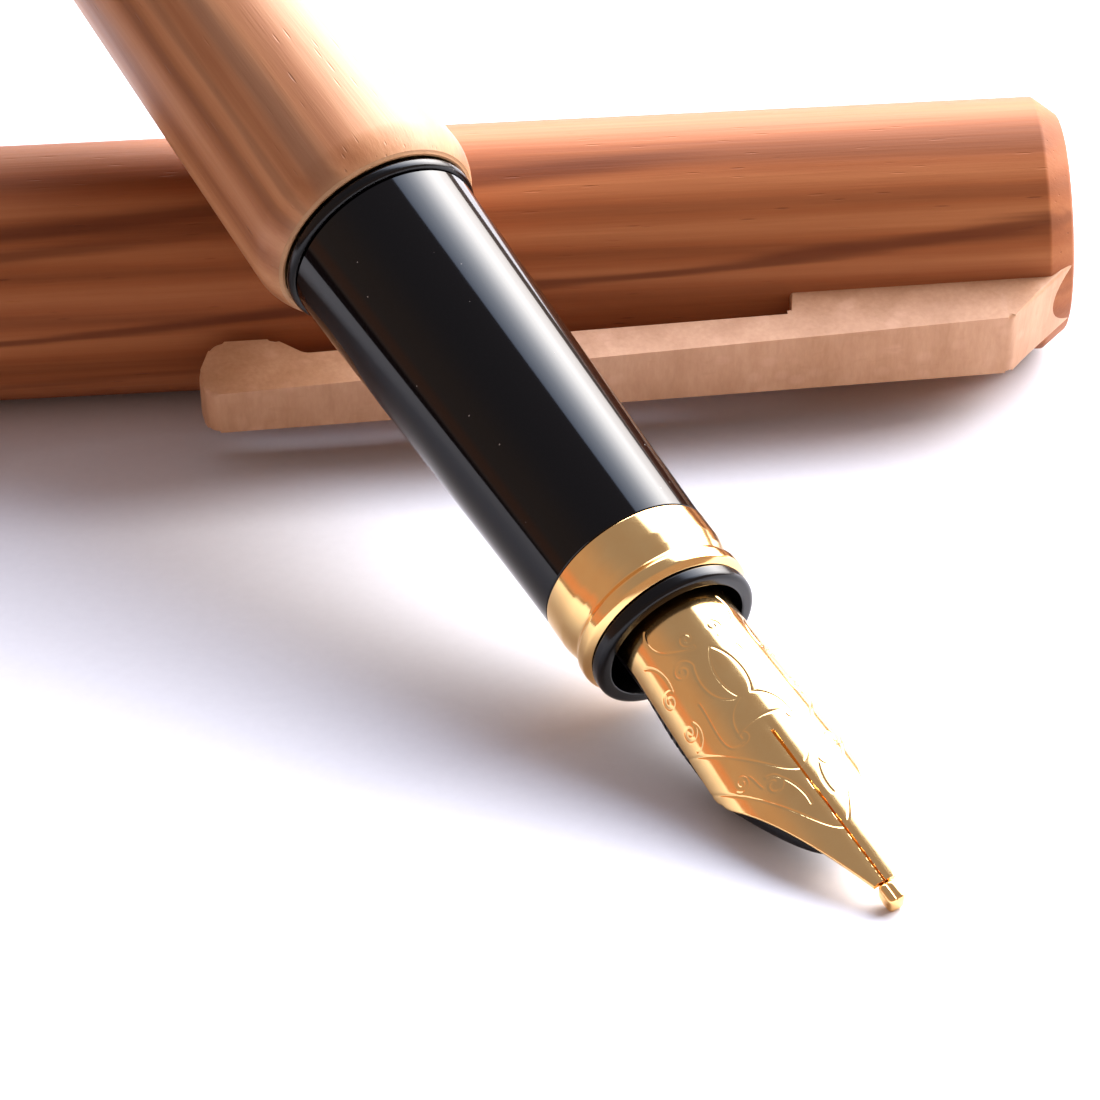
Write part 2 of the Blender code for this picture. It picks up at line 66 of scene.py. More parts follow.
# Case
CASE_RADIUS = 6.85
CASE_LENGTH = 68.0
BORE_DEPTH = 54.0
BORE_RADIUS = 5.95

# Clip, drawn as (distance from the closed end, distance from the case's axis)
CLIP_OUTER = 9.27
CLIP_OUTER_SLOPE = 0.053
ARM_INNER = 8.18
ARM_INNER_TIP = 8.95
BUMP_INNER = 7.72
SLOT_END = 15.4
CLIP_NOSE = 47.0
CLIP_ROOT_WIDTH = 4.2
CLIP_NOSE_WIDTH = 2.8
CLIP_EDGE = 0.42
CLIP_END = 3.8             # where its slanted end meets its outer face
CLIP_NOSE_TOP = 46.4       # where its outer face meets the rounded nose
CLIP_SEAT = 5.5

# Pen
KNOB_HINGE_ALONG = 90.0    # where the frame's knob joint stands on the pen's axis
NIB_ROLL = math.radians(-12.5)
LIP_FRONT = 19.6
LIP_BACK = 20.35
RING_FRONT = 20.45
RING_BACK = 24.35
RIM_FRONT = 48.3
RIM_BACK = 49.0
BARREL_FRONT = 49.1
BARREL_WIDEST = 6.22
BARREL_WIDEST_AT = 50.9
BARREL_TAPER = 0.03
BARREL_END = 126.0
BARREL_CROWN = 3.0

# Nib
NIB_THICKNESS = 0.3
NIB_CREST = 3.25
NIB_BACK = 27.0
NIB_BASE_AT = 18.5
NIB_BASE_CURVE = 3.2
NIB_BASE_SPAN = math.radians(79)
NIB_SHOULDER_AT = 9.9
NIB_SHOULDER_CURVE = 3.75
NIB_TIP_HALF = 0.28
NIB_TINE_SPREAD = 3.4
NIB_SHOULDER_FLARE = 1.1
NIB_SHOULDER_ROUNDING = 0.28
NIB_FRONT = 1.2
SLIT_BACK = 11.0
SLIT_DEPTH = 0.22
SLIT_HALF = 0.05
VALLEY_BACK = 12.0         # the surface dips towards the slit in front of here
VALLEY_DEPTH = 0.035
VALLEY_HALF = 0.32
GROOVE_DEPTH = 0.034
GROOVE_HALF = 0.05


def joint(name):
    """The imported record's joint of that name."""
    return next(entry for entry in frame["joints"] if entry["name"] == name)


def mount(name):
    """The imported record's mount of that name."""
    return next(entry for entry in frame["record"]["mounts"] if entry["name"] == name)


def axes(origin, x, y, z):
    """Matrix with these three directions as its columns."""
    return Matrix.Translation(origin) @ Matrix((x, y, z)).transposed().to_4x4()


def case_matrix():
    """Frame of the case: Z runs from its mouth to its closed end, X points up."""
    low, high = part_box("case_tube")
    mouth = Vector((low.x, (low.y + high.y) / 2.0, (low.z + high.z) / 2.0))
    along = Vector(mount("closed_end")["axis"])
    return axes(mouth, UP, along.cross(UP), along)


def clip_matrix(case):
    """Frame of the clip: Z as on the case, Y points away from the case's axis."""
    along = Vector(mount("closed_end")["axis"])
    outward = Vector(mount("clip_outer_face")["axis"])
    outward = (outward - along * along.dot(outward)).normalized()
    return axes(case.translation, outward.cross(along), outward, along)


def pen_matrix():
    """Frame of the pen: Z runs from the nib back along the barrel, Y is the upper side."""
    along = Vector(joint("barrel_draw")["axis"]).normalized()
    knob = Vector(joint("knob_turn")["pos_m"])
    upper = (UP - along * along.z).normalized()
    return axes(knob - along * KNOB_HINGE_ALONG * MM, upper.cross(along), upper, along)


CASE = case_matrix()
CLIP = clip_matrix(CASE)
PEN = pen_matrix()
NIB = PEN @ Matrix.Rotation(NIB_ROLL, 4, "Z")


# ---------------------------------------------------------------- materials

def node(tree, kind, inputs=None, **settings):
    """New shader node with its settings and its inputs, which are values or output sockets."""
    made = tree.nodes.new(kind)
    for name, value in settings.items():
        setattr(made, name, value)
    for socket, value in (inputs or {}).items():
        if isinstance(value, bpy.types.NodeSocket):
            tree.links.new(value, made.inputs[socket])
        else:
            made.inputs[socket].default_value = value
    return made


def math_node(tree, operation, first, second=0.0):
    """Output of a Math node."""
    return node(tree, "ShaderNodeMath", {0: first, 1: second}, operation=operation).outputs[0]


def fade(tree, value, start, end):
    """Output that rises smoothly from 0 at start to 1 at end."""
    made = node(tree, "ShaderNodeMapRange", {"Value": value, "From Min": start, "From Max": end},
                interpolation_type="SMOOTHSTEP")
    return made.outputs["Result"]


def mix(tree, factor, first, second, blend="MIX"):
    """Colour output that mixes two colours."""
    made = node(tree, "ShaderNodeMix", data_type="RGBA", blend_type=blend)
    for socket, value in ((made.inputs[0], factor), (made.inputs[6], first), (made.inputs[7], second)):
        if isinstance(value, bpy.types.NodeSocket):
            tree.links.new(value, socket)
        elif isinstance(value, tuple):
            socket.default_value = (*value, 1.0)
        else:
            socket.default_value = value
    return made.outputs[2]


def ramp(tree, factor, stops):
    """Colour output of a ramp with (place, colour) stops."""
    made = node(tree, "ShaderNodeValToRGB", {"Fac": factor})
    made.color_ramp.elements[0].position = stops[0][0]
    made.color_ramp.elements[0].color = (*stops[0][1], 1.0)
    made.color_ramp.elements[1].position = stops[-1][0]
    made.color_ramp.elements[1].color = (*stops[-1][1], 1.0)
    for place, colour in stops[1:-1]:
        made.color_ramp.elements.new(place).color = (*colour, 1.0)
    return made.outputs["Color"]


def local_mm(tree, scale=(1.0, 1.0, 1.0)):
    """Object coordinates in millimetres, scaled along each axis."""
    place = node(tree, "ShaderNodeTexCoord").outputs["Object"]
    return node(tree, "ShaderNodeMapping",
                {"Vector": place, "Scale": [factor / MM for factor in scale]}).outputs["Vector"]


def noise(tree, vector, scale, detail=3.0, roughness=0.5):
    """Value output of a noise texture."""
    made = node(tree, "ShaderNodeTexNoise",
                {"Vector": vector, "Scale": scale, "Detail": detail, "Roughness": roughness})
    return made.outputs[0]


def start_material(name, colour, roughness, metallic=0.0):
    """Principled material, with its tree and its shader node."""
    material = bpy.data.materials.new(name)
    material.use_nodes = True
    shader = material.node_tree.nodes["Principled BSDF"]
    shader.inputs["Base Color"].default_value = (*colour, 1.0)
    shader.inputs["Roughness"].default_value = roughness
    shader.inputs["Metallic"].default_value = metallic
    return material, material.node_tree, shader


def across_grain(tree, axis):
    """Part of the surface's normal along one of the piece's own axes."""
    normal = node(tree, "ShaderNodeNewGeometry").outputs["Normal"]
    turned = node(tree, "ShaderNodeVectorTransform", {"Vector": normal}, vector_type="NORMAL",
                  convert_from="WORLD", convert_to="OBJECT").outputs["Vector"]
    return node(tree, "ShaderNodeSeparateXYZ", {"Vector": turned}).outputs[axis]


def add_bump(tree, shader, height, distance, strength=1.0):
    """Bump from a height that is worth that distance in millimetres."""
    made = node(tree, "ShaderNodeBump", {"Height": height, "Distance": distance * MM, "Strength": strength})
    tree.links.new(made.outputs["Normal"], shader.inputs["Normal"])


def streak(tree, angle, along, place):
    """Strength of one dark streak: (angle at a station, station, drift in degrees for each mm, half width,
    strength, station where it starts to fade, station where it has gone)."""
    middle, station, drift, half, strength, full, gone = place
    line = math_node(tree, "MULTIPLY_ADD", along, drift)
    line.node.inputs[2].default_value = middle - drift * station
    off = math_node(tree, "ABSOLUTE", math_node(tree, "SUBTRACT", angle, line))
    inside = fade(tree, off, half, half * 0.15)
    present = fade(tree, along, gone, full)
    return math_node(tree, "MULTIPLY", math_node(tree, "MULTIPLY", inside, present), strength)


def wood(name, tones, streaks, streak_colour, roughness, gloss, ring_turn, warm_end):
    """Turned wood: its grain runs along local Z. tones are its dark, middle and light colours."""
    material, tree, shader = start_material(name, tones[1], roughness)
    place = local_mm(tree)
    slow = local_mm(tree, (1.0, 1.0, 0.06))
    fibre = local_mm(tree, (1.0, 1.0, 0.02))
    split = node(tree, "ShaderNodeSeparateXYZ", {"Vector": place}).outputs
    turn = node(tree, "ShaderNodeMath", {0: split["X"], 1: split["Y"]}, operation="ARCTAN2").outputs[0]
    angle = math_node(tree, "DEGREES", turn)
    drift = math_node(tree, "SUBTRACT", noise(tree, slow, 0.35, 4.0), 0.5)
    wobble = math_node(tree, "MULTIPLY", drift, 26.0)
    angle = math_node(tree, "ADD", angle, wobble)

    across = node(tree, "ShaderNodeVectorRotate", {"Vector": slow, "Angle": ring_turn},
                  rotation_type="Z_AXIS")
    rings = node(tree, "ShaderNodeTexWave",
                 {"Vector": across.outputs["Vector"], "Scale": 0.13, "Distortion": 3.2, "Detail": 3.0,
                  "Detail Scale": 0.8, "Detail Roughness": 0.45}, wave_type="BANDS", bands_direction="X")
    broad = noise(tree, slow, 0.22, 5.0, 0.6)
    mixed = math_node(tree, "MULTIPLY_ADD", rings.outputs["Fac"], 0.45)
    tree.links.new(math_node(tree, "MULTIPLY", broad, 0.6), mixed.node.inputs[2])
    colour = ramp(tree, mixed, [(0.22, tones[0]), (0.5, tones[1]), (0.8, tones[2])])

    fine = noise(tree, fibre, 3.4, 4.0, 0.65)
    fibres = ramp(tree, fine, [(0.3, (0.36, 0.33, 0.32)), (0.7, (0.64, 0.64, 0.64))])
    colour = mix(tree, 0.4, colour, fibres, "SOFT_LIGHT")
    pores = node(tree, "ShaderNodeTexVoronoi", {"Vector": local_mm(tree, (1.0, 1.0, 0.11)), "Scale": 2.6})
    pore = fade(tree, pores.outputs["Distance"], 0.17, 0.05)
    rare = fade(tree, noise(tree, slow, 0.8, 2.0), 0.5, 0.62)
    shown = math_node(tree, "MULTIPLY", math_node(tree, "MULTIPLY", pore, rare), 0.55)
    colour = mix(tree, shown, colour, streak_colour)
    for entry in streaks:
        colour = mix(tree, streak(tree, angle, split["Z"], entry), colour, streak_colour)
    end_grain = fade(tree, math_node(tree, "ABSOLUTE", across_grain(tree, "Z")), 0.35, 0.8)
    colour = mix(tree, math_node(tree, "MULTIPLY", end_grain, 0.6), colour, warm_end)
    tree.links.new(colour, shader.inputs["Base Color"])

    shine = math_node(tree, "MULTIPLY_ADD", noise(tree, fibre, 2.2, 3.0), 0.16)
    shine.node.inputs[2].default_value = roughness - 0.08
    tree.links.new(shine, shader.inputs["Roughness"])
    height = math_node(tree, "SUBTRACT", fine, math_node(tree, "MULTIPLY", pore, 0.8))
    add_bump(tree, shader, height, 0.035, 0.5)
    shader.inputs["Specular IOR Level"].default_value = gloss
    shader.inputs["Coat Weight"].default_value = 0.1 * gloss
    shader.inputs["Coat Roughness"].default_value = 0.3
    return material


def maple(name):
    """Pale maple with short ray flecks across its flat sides; its grain runs along local Z."""
    material, tree, shader = start_material(name, (0.6, 0.36, 0.17), 0.5)
    slow = local_mm(tree, (1.0, 1.0, 0.1))
    base = ramp(tree, noise(tree, slow, 0.45, 5.0, 0.6),
                [(0.3, (0.44, 0.22, 0.105)), (0.5, (0.5, 0.26, 0.135)), (0.72, (0.57, 0.315, 0.175))])
    fine = noise(tree, local_mm(tree, (1.0, 1.0, 0.03)), 4.0, 3.0, 0.6)
    fibres = ramp(tree, fine, [(0.3, (0.4, 0.38, 0.37)), (0.7, (0.6, 0.6, 0.6))])
    base = mix(tree, 0.5, base, fibres, "SOFT_LIGHT")
    cells = node(tree, "ShaderNodeTexVoronoi",
                 {"Vector": local_mm(tree, (0.8, 0.9, 1.0)), "Scale": 0.95, "Randomness": 1.0})
    fleck = fade(tree, cells.outputs["Distance"], 0.46, 0.2)
    patch = fade(tree, noise(tree, local_mm(tree, (0.7, 0.7, 0.5)), 0.35, 2.0), 0.42, 0.6)
    spots = math_node(tree, "MULTIPLY", math_node(tree, "MULTIPLY", fleck, patch), 0.2)
    base = mix(tree, spots, base, (0.74, 0.42, 0.28))
    outer = fade(tree, across_grain(tree, "Y"), 0.55, 0.9)
    flecks = fade(tree, noise(tree, local_mm(tree, (1.6, 1.0, 0.75)), 1.1, 3.0, 0.6), 0.47, 0.6)
    on_face = math_node(tree, "MULTIPLY", math_node(tree, "MULTIPLY", flecks, outer), 0.75)
    base = mix(tree, on_face, base, (0.80, 0.52, 0.43))
    rays = fade(tree, noise(tree, local_mm(tree, (0.6, 0.7, 1.9)), 1.1, 2.0), 0.6, 0.72)
    base = mix(tree, math_node(tree, "MULTIPLY", rays, 0.3), base, (0.42, 0.2, 0.09))
    base = mix(tree, math_node(tree, "MULTIPLY", outer, 0.3), base, (0.66, 0.4, 0.31))
    tree.links.new(base, shader.inputs["Base Color"])
    add_bump(tree, shader, fine, 0.03, 0.4)
    return material


def black_plastic(name, roughness, dust):
    """Polished black resin with a few specks of dust and faint hairlines."""
    black = (0.0015, 0.0013, 0.0016)
    material, tree, shader = start_material(name, black, roughness)
    shader.inputs["Specular IOR Level"].default_value = 0.28
    specks = node(tree, "ShaderNodeTexVoronoi", {"Vector": local_mm(tree), "Scale": 1.1})
    speck = fade(tree, specks.outputs["Distance"], 0.055, 0.03)
    kept = fade(tree, noise(tree, local_mm(tree), 0.9, 1.0), 0.5, 0.56)
    amount = math_node(tree, "MULTIPLY", math_node(tree, "MULTIPLY", speck, kept), dust)
    tree.links.new(mix(tree, amount, black, (0.34, 0.3, 0.27)), shader.inputs["Base Color"])
    rough = math_node(tree, "MULTIPLY_ADD", amount, 0.5)
    rough.node.inputs[2].default_value = roughness
    tree.links.new(rough, shader.inputs["Roughness"])
    add_bump(tree, shader, noise(tree, local_mm(tree, (1.0, 1.0, 0.6)), 0.35, 2.0), 0.004, 0.6)
    return material


def moulded_plastic(name):
    """Matt black moulded plastic."""
    material, tree, shader = start_material(name, (0.004, 0.0038, 0.0045), 0.4)
    shader.inputs["Specular IOR Level"].default_value = 0.2
    grain = noise(tree, local_mm(tree), 9.0, 3.0, 0.6)
    tree.links.new(ramp(tree, grain, [(0.3, (0.003, 0.0028, 0.0035)), (0.7, (0.007, 0.0065, 0.0075))]),
                   shader.inputs["Base Color"])
    add_bump(tree, shader, grain, 0.012, 0.6)
    return material


def metal(name, colour, shade, roughness, grain_scale):
    """Plated or turned metal with fine polishing marks. grain_scale sets the marks' direction."""
    material, tree, shader = start_material(name, colour, roughness, 1.0)
    cloud = noise(tree, local_mm(tree), 0.7, 4.0, 0.6)
    tree.links.new(ramp(tree, cloud, [(0.3, shade), (0.7, colour)]), shader.inputs["Base Color"])
    marks = noise(tree, local_mm(tree, grain_scale), 6.0, 4.0, 0.7)
    rough = math_node(tree, "MULTIPLY_ADD", marks, roughness * 0.8)
    rough.node.inputs[2].default_value = roughness * 0.6
    tree.links.new(rough, shader.inputs["Roughness"])
    add_bump(tree, shader, marks, 0.0012, 0.2)
    return material


def clear_plastic(name):
    """Clear moulded tube, faintly clouded."""
    material, tree, shader = start_material(name, (0.93, 0.95, 0.96), 0.06)
    shader.inputs["Transmission Weight"].default_value = 0.92
    shader.inputs["IOR"].default_value = 1.49
    haze = noise(tree, local_mm(tree, (1.0, 1.0, 0.3)), 0.9, 3.0)
    tree.links.new(ramp(tree, haze, [(0.3, (0.9, 0.93, 0.94)), (0.7, (0.96, 0.97, 0.975))]),
                   shader.inputs["Base Color"])
    add_bump(tree, shader, haze, 0.01, 0.3)
    return material


def rubber(name):
    """Matt seal rubber."""
    material, tree, shader = start_material(name, (0.02, 0.02, 0.02), 0.75)
    grain = noise(tree, local_mm(tree), 12.0, 2.0)
    tree.links.new(ramp(tree, grain, [(0.3, (0.015, 0.015, 0.015)), (0.7, (0.03, 0.03, 0.03))]),
                   shader.inputs["Base Color"])
    add_bump(tree, shader, grain, 0.01, 0.5)
    return material


CASE_STREAKS = (
    (20.0, 56.3, 0.6, 4.5, 0.75, 10.0, -40.0),
    (64.0, 42.4, 0.6, 9.0, 0.7, 42.0, 52.0),
    (33.0, 9.0, 0.6, 5.0, 0.65, 12.0, 30.0),
    (-24.0, 30.0, 0.5, 5.0, 0.35, 10.0, -40.0),
    (150.0, 30.0, 0.5, 7.0, 0.6, 10.0, -40.0),
    (-130.0, 30.0, 0.4, 9.0, 0.6, 10.0, -40.0),
    (-90.0, 30.0, 0.4, 6.0, 0.5, 10.0, -40.0),
)
BARREL_STREAKS = (
    (33.0, 57.0, -0.1, 9.0, 0.75, 49.0, -40.0),
    (52.0, 57.0, -0.1, 5.0, 0.45, 49.0, -40.0),
    (66.0, 57.0, 0.1, 4.0, 0.4, 49.0, -40.0),
    (-60.0, 57.0, 0.2, 8.0, 0.4, 49.0, -40.0),
    (150.0, 57.0, 0.1, 9.0, 0.6, 49.0, -40.0),
    (-140.0, 57.0, 0.1, 6.0, 0.5, 49.0, -40.0),
)
CASE_WOOD = wood("case_wood", ((0.2, 0.06, 0.02), (0.3, 0.092, 0.03), (0.38, 0.135, 0.05)),
                 CASE_STREAKS, (0.11, 0.028, 0.010), 0.56, 0.09, math.radians(25), (0.30, 0.11, 0.05))
BARREL_WOOD = wood("barrel_wood", ((0.31, 0.118, 0.046), (0.43, 0.182, 0.078), (0.54, 0.26, 0.122)),
                   BARREL_STREAKS, (0.2, 0.088, 0.044), 0.44, 0.3, math.radians(70), (0.5, 0.3, 0.15))
MAPLE = maple("clip_maple")
GLOSS_BLACK = black_plastic("black_gloss", 0.07, 0.8)
COLLAR_BLACK = black_plastic("collar_black", 0.2, 0.3)
MATT_BLACK = moulded_plastic("black_matte")
GOLD = metal("gold", (0.99, 0.65, 0.27), (0.97, 0.60, 0.235), 0.13, (1.0, 1.0, 0.2))
BRASS = metal("brass", (0.75, 0.53, 0.24), (0.62, 0.42, 0.18), 0.3, (0.2, 0.2, 3.0))
CHROME = metal("chrome", (0.78, 0.78, 0.8), (0.7, 0.7, 0.72), 0.12, (0.2, 0.2, 2.0))
CLEAR = clear_plastic("clear")
RUBBER = rubber("seal")


# ---------------------------------------------------------------- mesh helpers

def soft(corners, closed=True):
    """Profile through (radius, along, rounding) corners, with each rounding drawn as an arc."""
    count = len(corners)
    points = []
    for index, (radius, along, size) in enumerate(corners):
        here = Vector((radius, along))
        if size == 0 or (not closed and index in (0, count - 1)):
            points.append(here)
            continue
        incoming = (Vector(corners[index - 1][:2]) - here).normalized()
        outgoing = (Vector(corners[(index + 1) % count][:2]) - here).normalized()
        half = incoming.angle(outgoing) / 2.0
        centre = here + (incoming + outgoing).normalized() * size / math.sin(half)
        first = (here + incoming * size / math.tan(half) - centre).normalized()
        last = (here + outgoing * size / math.tan(half) - centre).normalized()
        steps = max(3, round(first.angle(last) / ARC_STEP))
        points += [centre + first.slerp(last, step / steps) * size for step in range(steps + 1)]
    return [(point.x, point.y) for point in points]


def finish_mesh(name, shape, matrix, material, sharp=38):
    """Object from a bmesh in millimetres, placed by a matrix."""
    bmesh.ops.remove_doubles(shape, verts=shape.verts, dist=1e-4)
    bmesh.ops.recalc_face_normals(shape, faces=shape.faces)
    bmesh.ops.scale(shape, vec=(MM, MM, MM), verts=shape.verts)
    mesh = bpy.data.meshes.new(name)
    shape.to_mesh(mesh)
    shape.free()
    mesh.shade_smooth()
    mesh.set_sharp_from_angle(angle=math.radians(sharp))
    mesh.materials.append(material)
    piece = bpy.data.objects.new(name, mesh)
    bpy.context.scene.collection.objects.link(piece)
    piece.matrix_world = matrix
    return piece


def skin(shape, rings, closed_end_to_end=False):
    """Faces between rings of vertices. A ring of one vertex closes to a point."""
    pairs = list(zip(rings, rings[1:]))
    if closed_end_to_end:
        pairs.append((rings[-1], rings[0]))
    for lower, upper in pairs:
        count = max(len(lower), len(upper))
        for step in range(count):
            following = (step + 1) % count
            corners = [lower[step % len(lower)], lower[following % len(lower)],
                       upper[following % len(upper)], upper[step % len(upper)]]
            corners = list(dict.fromkeys(corners))
            if len(corners) > 2:
                shape.faces.new(corners)


def turned(name, profile, matrix, material, sides=ROUND, cut=None):
    """Piece turned about local Z. cut(radius, along, angle) takes something off its radius."""
    shape = bmesh.new()
    rings = []
    for radius, along in profile:
        if radius < 1e-6:
            rings.append([shape.verts.new((0.0, 0.0, along))])
            continue
        ring = []
        for step in range(sides):
            angle = 2.0 * math.pi * step / sides
            here = radius - cut(radius, along, angle) if cut else radius
            ring.append(shape.verts.new((here * math.cos(angle), here * math.sin(angle), along)))
        rings.append(ring)
    skin(shape, rings, closed_end_to_end=profile[0][0] > 1e-6)
    return finish_mesh(name, shape, matrix, material)


def thread(start, end, pitch, depth, least_radius, most_radius):
    """Cut of an outside thread between two stations on a surface between two radii."""
    def cut(radius, along, angle):
        if not (start < along < end and least_radius < radius < most_radius):
            return 0.0
        run_out = min(1.0, (along - start) / pitch, (end - along) / pitch)
        turn = along / pitch - angle / (2.0 * math.pi)
        return depth * run_out * (0.5 - 0.5 * math.cos(2.0 * math.pi * turn)) ** 0.8
    return cut


def stations(start, end, count):
    """Evenly spaced values, both ends included."""
    return [start + (end - start) * step / (count - 1) for step in range(count)]


def dress(piece, body, slot, *nodes):
    """Let a piece stand for CAD nodes and move with their body."""
    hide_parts(*nodes)
    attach(piece, body)
    return piece


# ---------------------------------------------------------------- case

def build_case():
    """Wooden tube, brass lining and plastic inner cap."""
    end = CASE_LENGTH
    profile = soft([
        (0.0, BORE_DEPTH, 0), (BORE_RADIUS, BORE_DEPTH, 0.3), (BORE_RADIUS, 0.0, 0.12),
        (CASE_RADIUS, 0.0, 0.4), (CASE_RADIUS, end - 1.4, 0.35), (5.85, end - 0.12, 0.3),
        (5.5, end, 0.2), (0.0, end, 0)], closed=False)
    dress(turned("wooden_case", profile, CASE, CASE_WOOD), "case", "case_wood", "case_tube")
    profile = soft([(5.55, 0.2, 0.1), (5.85, 0.2, 0.1), (5.85, 53.0, 0), (5.55, 53.0, 0)])
    dress(turned("case_lining", profile, CASE, BRASS), "case", "brass", "case_liner")
    profile = soft([
        (0.0, 51.8, 0), (4.25, 51.8, 0.5), (4.25, 31.0, 0.2), (4.75, 30.4, 0.2), (4.75, 23.0, 0.2),
        (5.05, 22.0, 0.1), (5.45, 22.0, 0.1), (5.45, 52.5, 0.3), (0.0, 52.5, 0)], closed=False)
    dress(turned("inner_cap", profile, CASE, MATT_BLACK, 96), "case", "black_matte", "case_inner_cap")


def clip_half_width(from_end):
    """Half the clip's thickness, which narrows from its root to its nose."""
    share = min(max(from_end / CLIP_NOSE, 0.0), 1.0)
    return 0.5 * (CLIP_ROOT_WIDTH + (CLIP_NOSE_WIDTH - CLIP_ROOT_WIDTH) * share)


def clip_outer(from_end):
    """Distance from the case's axis to the clip's outer face."""
    return CLIP_OUTER + CLIP_OUTER_SLOPE * from_end


def build_clip():
    """One piece of maple: a root on the case up to where its slot ends, then a free arm, sliced finely
    along its length.
    """
    outline = soft([
        (0.1, CLIP_SEAT, 0), (CLIP_END, clip_outer(CLIP_END), 0.6),
        (CLIP_NOSE_TOP, clip_outer(CLIP_NOSE_TOP), 0.7), (CLIP_NOSE, 10.3, 1.6),
        (46.2, BUMP_INNER, 0.9), (42.9, BUMP_INNER, 1.0),
        (41.3, ARM_INNER_TIP, 0.9), (SLOT_END, ARM_INNER, 0.25), (SLOT_END, CLIP_SEAT, 0)])
    shape = bmesh.new()
    caps = []
    for sign in (-1.0, 1.0):
        loop = [shape.verts.new((sign * clip_half_width(from_end), radius, CASE_LENGTH - from_end))
                for from_end, radius in outline]
        caps.append(shape.faces.new(loop))
    skin(shape, [list(cap.verts) for cap in caps])
    edges = list({edge for cap in caps for edge in cap.edges})
    bmesh.ops.bevel(shape, geom=edges, offset=CLIP_EDGE, segments=5, profile=0.5, affect="EDGES",
                    clamp_overlap=True)
    for from_end in stations(2.0, 46.0, 89):
        bmesh.ops.bisect_plane(shape, geom=shape.verts[:] + shape.edges[:] + shape.faces[:],
                               plane_co=(0.0, 0.0, CASE_LENGTH - from_end), plane_no=(0.0, 0.0, 1.0))
    bmesh.ops.triangulate(shape, faces=[face for face in shape.faces if len(face.verts) > 4])
    clip = finish_mesh("maple_clip", shape, CLIP, MAPLE, 30)
    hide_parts("case_clip_root", "case_clip_arm")
    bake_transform(clip)


# ---------------------------------------------------------------- grip, ring and housing

def grip_radius(along):
    """Outside of the grip, which swells slightly towards the barrel."""
    share = (along - RING_BACK) / (RIM_FRONT - 0.1 - RING_BACK)
    return 4.58 + 0.64 * share ** 1.15


def build_section():
    """Grip with its threaded tail, trim ring and rim."""
    tail_front, tail_back, tail = RIM_FRONT - 0.1, 57.0, 4.7
    pitch = 0.8
    profile = [(3.9, RING_BACK), (grip_radius(RING_BACK) - 0.06, RING_BACK)]
    profile += [(grip_radius(along), along) for along in stations(RING_BACK + 0.06, tail_front - 0.05, 24)]
    profile += [(grip_radius(tail_front) - 0.05, tail_front), (tail, tail_front)]
    profile += [(tail, along) for along in stations(tail_front + 0.6, tail_back - 0.5, 66)]
    profile += [(tail - 0.45, tail_back), (4.1, tail_back), (4.1, 39.0), (3.9, 39.0)]
    cut = thread(50.2, tail_back - 0.4, pitch, 0.34, 4.5, 4.8)
    dress(turned("grip", profile, PEN, GLOSS_BLACK, cut=cut), "section", "black_gloss", "section_grip")

    profile = soft([
        (3.9, RING_FRONT, 0), (4.35, RING_FRONT, 0.12), (4.66, RING_FRONT + 0.3, 0.25),
        (4.66, RING_FRONT + 0.85, 0.25), (4.36, RING_FRONT + 1.25, 0.25), (4.5, RING_FRONT + 1.75, 0.5),
        (4.62, RING_FRONT + 2.4, 1.0), (4.62, RING_BACK - 0.04, 0.08), (3.9, RING_BACK - 0.04, 0)])
    dress(turned("trim_ring", profile, PEN, GOLD), "section", "gold", "section_ring")

    profile = soft([
        (4.8, RIM_FRONT, 0), (5.45, RIM_FRONT, 0.28), (5.45, RIM_BACK, 0.28), (4.8, RIM_BACK, 0)])
    dress(turned("grip_rim", profile, PEN, COLLAR_BLACK), "section", "black_gloss", "section_rim")


def build_housing():
    """Collar in front of the ring, threaded body and nipple behind it."""
    seat = 3.36                # radius of the bore that holds the nib
    corners = [
        (3.75, LIP_FRONT, 0.1), (4.42, LIP_FRONT, 0.3), (4.42, LIP_BACK, 0.1), (3.8, LIP_BACK, 0)]
    front = soft(corners + [(3.8, LIP_BACK + 1.0, 0), (seat, LIP_FRONT + 1.2, 0.2)])[:-1]
    lip = [point for point in front if point[1] < LIP_BACK + 0.01]
    body = [(3.8, along) for along in stations(24.6, 37.4, 150)]
    profile = lip + body + [(3.5, 38.0), (1.6, 38.0), (1.6, 43.5), (1.35, 44.0), (1.0, 44.0), (1.0, 28.7),
                            (seat, 28.7), (seat, LIP_FRONT + 1.3)]
    cut = thread(25.0, 37.2, 0.6, 0.25, 3.7, 3.9)
    dress(turned("nib_collar", profile, PEN, COLLAR_BLACK, 120, cut),
          "nib_unit", "black_gloss", "nib_housing")


# ---------------------------------------------------------------- nib and feed

def nib_section(along):
    """Curve radius and half angle of the nib's arch at a distance from its tip."""
    if along >= NIB_SHOULDER_AT:
        share = min((along - NIB_SHOULDER_AT) / (NIB_BASE_AT - NIB_SHOULDER_AT), 1.0)
        curve = NIB_SHOULDER_CURVE + (NIB_BASE_CURVE - NIB_SHOULDER_CURVE) * share
        rounding = NIB_SHOULDER_ROUNDING * max(0.0, 1.0 - (along - NIB_SHOULDER_AT) / 0.7) ** 2
        shoulder_span = (NIB_TIP_HALF + NIB_TINE_SPREAD + NIB_SHOULDER_FLARE) / NIB_SHOULDER_CURVE
        return curve, shoulder_span + (NIB_BASE_SPAN - shoulder_span) * share - rounding / curve
    share = along / NIB_SHOULDER_AT
    half = NIB_TIP_HALF + NIB_TINE_SPREAD * share ** 1.1 + NIB_SHOULDER_FLARE * share ** 5
    half -= NIB_SHOULDER_ROUNDING * max(0.0, (share - 0.9) / 0.1) ** 3
    return NIB_SHOULDER_CURVE, half / NIB_SHOULDER_CURVE


